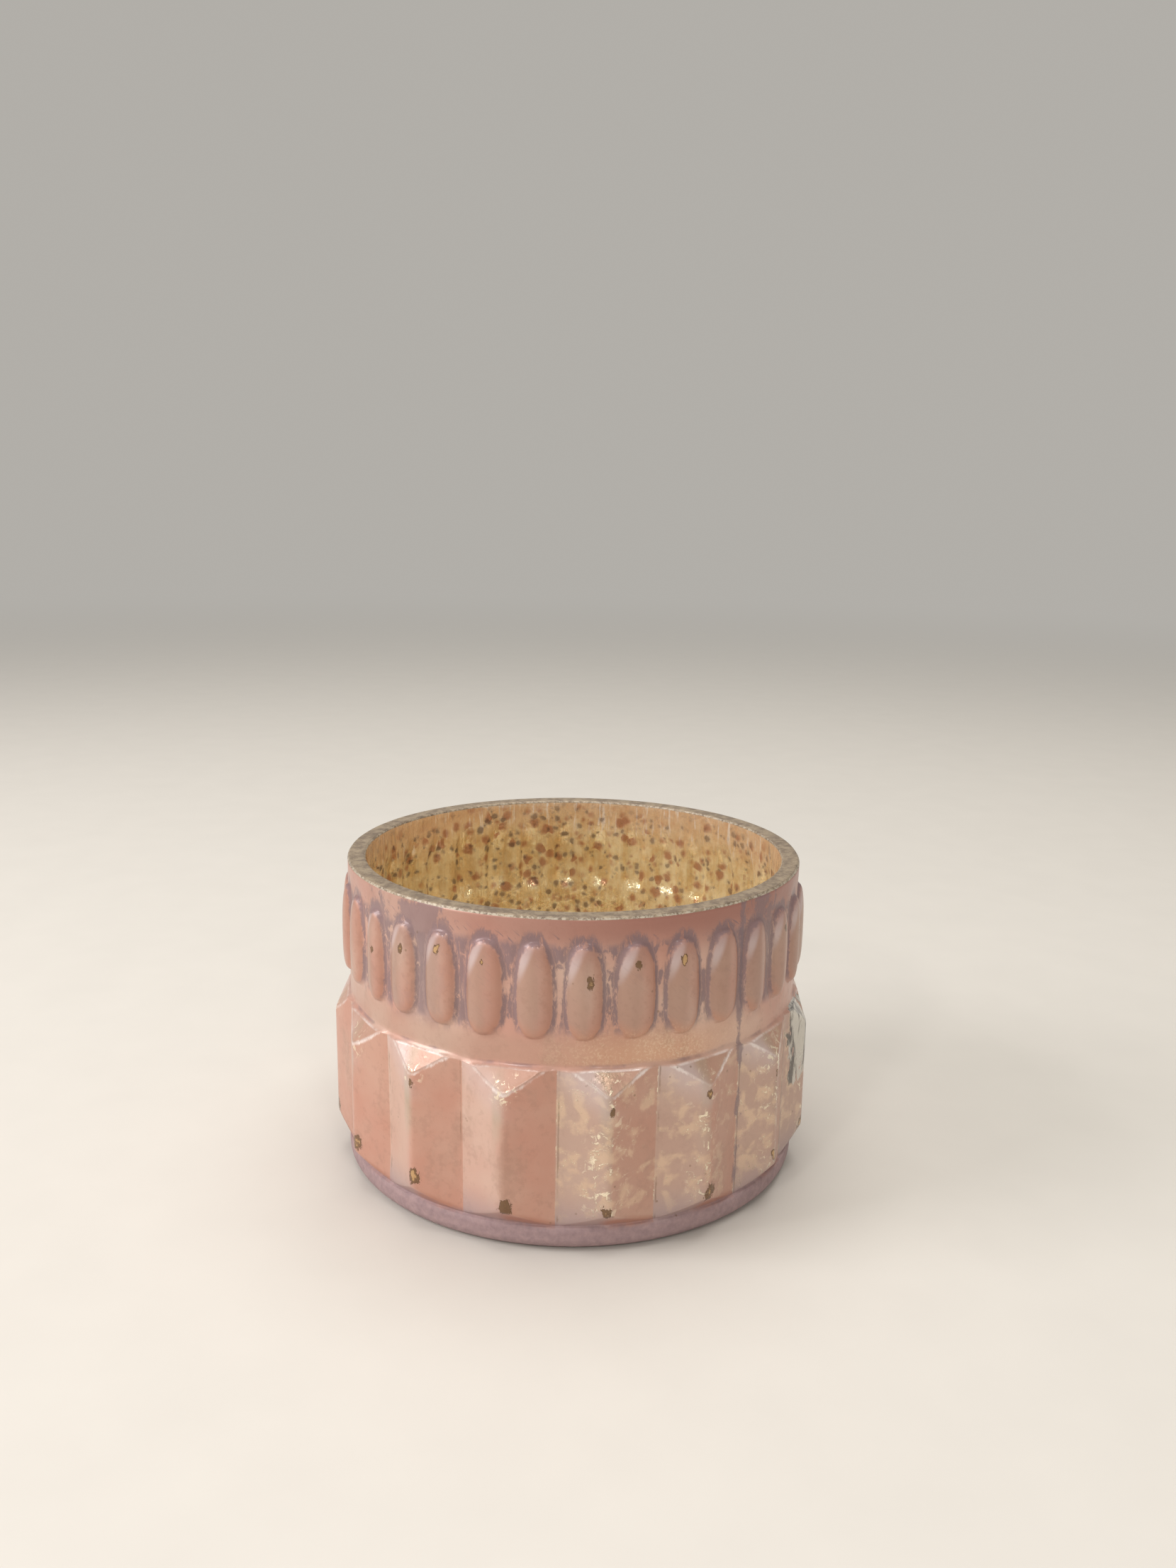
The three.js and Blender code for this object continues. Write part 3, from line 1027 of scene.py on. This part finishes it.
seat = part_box("tealight_cup")[0].z / mm
noFields = {}
gap = 0.3  # millimetres, between the tealight's pieces


def evenAngles(columns, rows):
    return np.arange(columns) * fullTurn / columns + np.zeros((rows, 1))


def arcPoints(middle, size, fromDegrees, toDegrees, count):
    turns = np.radians(np.linspace(fromDegrees, toDegrees, count))
    return [(middle[0] + size * math.cos(t), middle[1] + size * math.sin(t)) for t in turns]


def linePoints(start, end, count):  # without its two ends
    shares = np.linspace(0, 1, count + 2)[1:-1]
    return [(start[0] + (end[0] - start[0]) * s, start[1] + (end[1] - start[1]) * s) for s in shares]


def turnedPiece(name, outline, columns, radii=None, heights=None, ring=False):  # on the tealight's seat
    angles = evenAngles(columns, len(outline))
    radii = outline[:, :1] if radii is None else radii
    heights = outline[:, 1:] if heights is None else heights
    flat = 0 * angles
    return revolved(name, angles, radii + flat, heights + seat + flat, noFields, ring)


cup = {  # millimetres, but metres for a finish's depth, as in the next three
    "columns": 288,
    "radius": 19.0,
    "height": 13.0,
    "sheet": 0.4,
    "lip": 0.45,
    "heel": 0.9,
    "baseCircles": (5, 10, 15),
    "flutes": 72,
    "fluteDepth": 0.1,
    "fluteFoot": (1.2, 2.4),
    "fluteTop": (-2.6, -1.4),  # from the lip's top
    "metal": tone(208, 209, 212),
    "roughness": 0.26,
    "grainDepth": 0.00004,
}


def cupPaint():
    paint = Paint("pressedAluminium")
    place = paint.place()
    rolled = paint.noise(paint.stretch(place, (90.0, 90.0, 2600.0)), 1.0, detail=4.0, rough=0.6)
    worn = paint.noise(place, 160.0, detail=3.0)
    return paint.finish({
        "Base Color": mix(rolled, cup["metal"], dimmed(cup["metal"], 0.8)),
        "Metallic": 1.0,
        "Roughness": cup["roughness"] + worn * 0.16,
        "Normal": paint.bump(rolled, cup["grainDepth"]),
    })


def makeCup():
    inside = cup["radius"] - cup["sheet"]
    heel, lip, tall = cup["heel"], cup["lip"], cup["height"]
    outline = [(radius, 0) for radius in cup["baseCircles"]]
    outline += arcPoints((cup["radius"] - heel, heel), heel, -90, 0, count=7)
    outline += linePoints((cup["radius"], heel), (cup["radius"], tall - 2 * lip), count=12)
    outline += arcPoints((inside + lip, tall - lip), lip, -96, 180, count=13)  # the rolled lip
    outline += linePoints((inside, tall - lip), (inside, heel), count=12)
    outline += arcPoints((inside - heel, cup["sheet"] + heel), heel, 0, -90, count=6)
    outline += [(radius, cup["sheet"]) for radius in reversed(cup["baseCircles"])]
    outline = np.array(outline)
    onWall = within(outline[:, 1:], *cup["fluteFoot"], *(tall + part for part in cup["fluteTop"]))
    flute = 0.5 - 0.5 * np.cos(evenAngles(cup["columns"], len(outline)) * cup["flutes"])
    radii = outline[:, :1] - cup["fluteDepth"] * onWall * flute
    piece = turnedPiece("tealight_cup_shell", outline, cup["columns"], radii=radii)
    settle(piece, "tealight", "tealight_cup", cupPaint())


wax = {
    "columns": 192,
    "height": 11.0,
    "edge": 0.5,
    "dish": 0.5,
    "ringRadius": 15.5,
    "ringWidth": 1.4,
    "ringDepth": 0.12,
    "topRows": 26,
    "uneven": 0.05,
    "unevenFrom": (-0.8, -0.6),  # from the top, so that only the dish is uneven
    "baseCircle": 12.0,  # this and the next three only part a wide face
    "boreCircle": 6.5,
    "collarCircle": 2.4,
    "discCircle": 3.6,
    "colour": tone(240, 234, 221),
    "shade": tone(229, 220, 203),
    "roughness": 0.34,
    "subsurface": 0.2,
    "subsurfaceDepth": 0.003,
    "frostDepth": 0.00006,
}
wick = {
    "columns": 48,
    "rows": 90,
    "radius": 0.7,
    "height": 17.0,
    "cutLength": 0.5,
    "cutDrop": 0.04,
    "cutRadius": 0.25,  # as a share of the wick's
    "lean": 0.8,
    "leanPower": 1.6,
    "plaits": 3,
    "twist": 1.5,
    "plaitDepth": 0.05,
    "plaitPeak": 1.4,
    "cotton": tone(240, 235, 222),
    "shadow": tone(206, 196, 176),
    "roughness": 0.85,
    "sheen": 0.3,
    "fibreDepth": 0.0001,
}
clip = {
    "columns": 96,
    "radius": 6.0,
    "sheet": 0.3,
    "collar": 3.4,
    "rounding": 0.08,
    "bevel": 0.15,
    "ribRadius": 3.8,
    "ribWidth": 0.4,
    "ribRise": 0.12,
    "discRows": 14,
    "discMargins": (0.8, 0.4),
    "fillet": 0.25,
    "baseCircle": 2.4,
    "crimps": 6,
    "crimpDepth": 0.14,
    "crimpFoot": (0.6, 1.4),  # above the disc
    "metal": tone(176, 176, 172),
    "roughness": 0.3,
    "grainDepth": 0.00005,
}


def waxPaint():
    paint = Paint("candleWax")
    place = paint.place()
    cloudy = paint.noise(place, 120.0, detail=4.0, rough=0.6)
    frost = paint.noise(place, 1400.0, detail=3.0, rough=0.6)
    return paint.finish({
        "Base Color": mix(rise(cloudy, 0.35, 0.7), wax["colour"], wax["shade"]),
        "Roughness": wax["roughness"] + frost * 0.2,
        "Subsurface Weight": wax["subsurface"],
        "Subsurface Scale": wax["subsurfaceDepth"],
        "Normal": paint.bump(frost + cloudy, wax["frostDepth"]),
    })


def makeWax():  # with a socket in it for the wick's clip
    bottom = cup["sheet"] + gap
    top = cup["sheet"] + wax["height"]
    radius = cup["radius"] - cup["sheet"] - gap
    heel, edge = cup["heel"], wax["edge"]
    bore = wick["radius"] + gap
    collarSocket = bore + clip["sheet"] + gap
    discSocket = clip["radius"] + gap
    collarTop = bottom + clip["collar"] + gap
    discTop = bottom + clip["sheet"] + gap
    outline = [(discSocket, bottom), (wax["baseCircle"], bottom)]
    outline += arcPoints((radius - heel, bottom + heel), heel, -90, 0, count=6)
    outline += linePoints((radius, bottom + heel), (radius, top - edge), count=8)
    outline += arcPoints((radius - edge, top - edge), edge, 0, 90, count=6)
    for across in np.linspace(radius - 2 * edge, bore, wax["topRows"]):
        dish = wax["dish"] * (1 - (across / radius) ** 2)
        ring = wax["ringDepth"] * bell(across - wax["ringRadius"], wax["ringWidth"])
        outline.append((across, top - dish - ring))
    outline += [(bore, wax["boreCircle"]), (bore, collarTop), (collarSocket, collarTop)]
    outline += [(collarSocket, wax["collarCircle"]), (collarSocket, discTop)]
    outline += [(wax["discCircle"], discTop), (discSocket, discTop)]
    outline = np.array(outline)
    angles = evenAngles(wax["columns"], len(outline))
    onTop = smooth(outline[:, 1:], *(top + part for part in wax["unevenFrom"]))
    uneven = ripple(angles, outline[:, :1] + 0 * angles, seed=41, waves=8, tallest=14.0) * wax["uneven"]
    heights = outline[:, 1:] + np.minimum(uneven * onTop, 0.0)
    piece = turnedPiece("wax_fill", outline, wax["columns"], heights=heights, ring=True)
    settle(piece, "candle", "wax", waxPaint())


def wickPaint():
    paint = Paint("braidedCotton")
    fibre = paint.noise(paint.stretch(paint.place(), (5200.0, 5200.0, 1500.0)), 1.0, detail=4.0, rough=0.7)
    return paint.finish({
        "Base Color": mix(rise(fibre, 0.35, 0.65), wick["shadow"], wick["cotton"]),
        "Roughness": wick["roughness"],
        "Sheen Weight": wick["sheen"],
        "Normal": paint.bump(fibre, wick["fibreDepth"]),
    })


def makeWick():  # straight in the wax, leaning a little above it
    bottom = cup["sheet"] + gap
    waxTop = cup["sheet"] + wax["height"]
    heights = np.linspace(bottom, wick["height"] - wick["cutDrop"], wick["rows"])[:, None]
    angles = evenAngles(wick["columns"], wick["rows"])
    turn = wick["twist"] * heights
    plait = np.cos(wick["plaits"] * (angles + turn)) + np.cos(wick["plaits"] * (angles - turn))
    radii = wick["radius"] - wick["plaitDepth"] * (wick["plaitPeak"] - plait)
    cut = np.clip((wick["height"] - heights) / wick["cutLength"], 0, 1) ** 0.5
    radii = radii * np.maximum(cut, wick["cutRadius"])
    free = np.clip((heights[:, 0] - waxTop) / (wick["height"] - waxTop), 0, 1)
    lean = wick["lean"] * free ** wick["leanPower"]
    piece = revolved("wick_braid", angles, radii, heights + seat + 0 * angles, noFields, lean=lean)
    settle(piece, "candle", "wick", wickPaint())


def clipPaint():
    paint = Paint("stampedTin")
    dull = paint.noise(paint.place(), 700.0, detail=4.0, rough=0.65)
    return paint.finish({
        "Base Color": mix(dull, clip["metal"], dimmed(clip["metal"], 0.7)),
        "Metallic": 1.0,
        "Roughness": clip["roughness"] + dull * 0.25,
        "Normal": paint.bump(dull, clip["grainDepth"]),
    })


def makeClip():  # a disc with a crimped collar round the wick
    bottom = cup["sheet"] + gap
    bore = wick["radius"] + gap
    outer = bore + clip["sheet"]
    top = bottom + clip["sheet"]
    collarTop = bottom + clip["collar"]
    radius, bevel, rounding = clip["radius"], clip["bevel"], clip["rounding"]
    outline = [(bore, bottom), (clip["baseCircle"], bottom), (radius - bevel, bottom)]
    outline += [(radius, bottom + rounding), (radius, top - rounding), (radius - bevel, top)]
    outerMargin, innerMargin = clip["discMargins"]
    for across in np.linspace(radius - outerMargin, outer + innerMargin, clip["discRows"]):
        outline.append((across, top + clip["ribRise"] * bell(across - clip["ribRadius"], clip["ribWidth"])))
    outline += [(outer, top + clip["fillet"])]
    outline += linePoints((outer, top + clip["fillet"]), (outer, collarTop), count=6)
    outline += [(outer - rounding, collarTop), (bore + rounding, collarTop)]
    outline += linePoints((bore, collarTop), (bore, bottom), count=6)
    outline = np.array(outline)
    low, high = clip["crimpFoot"]
    onCollar = smooth(outline[:, 1:], top + low, top + high) * (outline[:, :1] < outer + 0.01)
    crimp = 0.5 - 0.5 * np.cos(evenAngles(clip["columns"], len(outline)) * clip["crimps"])
    radii = outline[:, :1] - clip["crimpDepth"] * crimp * onCollar
    piece = turnedPiece("wick_clip_stamping", outline, clip["columns"], radii=radii, ring=True)
    settle(piece, "candle", "wick_clip", clipPaint())


def makeTealight():
    makeCup()
    makeWax()
    makeWick()
    makeClip()
    print("tealight made: cup, wax, wick and clip")


floor = {  # metres
    "colour": tone(216, 212, 205),
    "roughness": 0.55,
    "radius": 4.0,
    "corners": 96,
    "sunk": 0.00005,  # as a share of its radius
    "fadeFrom": 0.35,
    "fadeTo": 1.6,
}


def makeFloor():  # a disc that fades into the room
    angle = np.arange(floor["corners"]) * fullTurn / floor["corners"]
    points = np.stack([np.cos(angle), np.sin(angle), 0 * angle - floor["sunk"]], -1) * floor["radius"]
    mesh = bpy.data.meshes.new("floor")
    mesh.from_pydata(points.tolist(), [], [tuple(range(floor["corners"]))])
    ground = addPiece("floor", mesh)
    paint = Paint("paleFloor")
    place = paint.place()
    grain = paint.noise(place, 60.0, detail=4.0)
    colour = mix(grain, floor["colour"], dimmed(floor["colour"], 0.94))
    surface = paint.node("BsdfPrincipled", {}, {"Base Color": colour, "Roughness": floor["roughness"]})
    distance = paint.node("VectorMath", {"operation": "LENGTH"}, {0: place}, 1)
    away = paint.node("Emission", {}, {"Color": room["colour"], "Strength": room["strength"]})
    share = rise(distance, floor["fadeFrom"], floor["fadeTo"])
    both = paint.node("MixShader", {}, {0: share, 1: surface, 2: away})
    paint.node("OutputMaterial", {}, {"Surface": both})
    ground.data.materials.append(paint.material)
    print("floor made")


makeCamera()
makeLights()
print("camera and", len(lights), "lights made")
makeBowl()
makeTealight()
makeFloor()
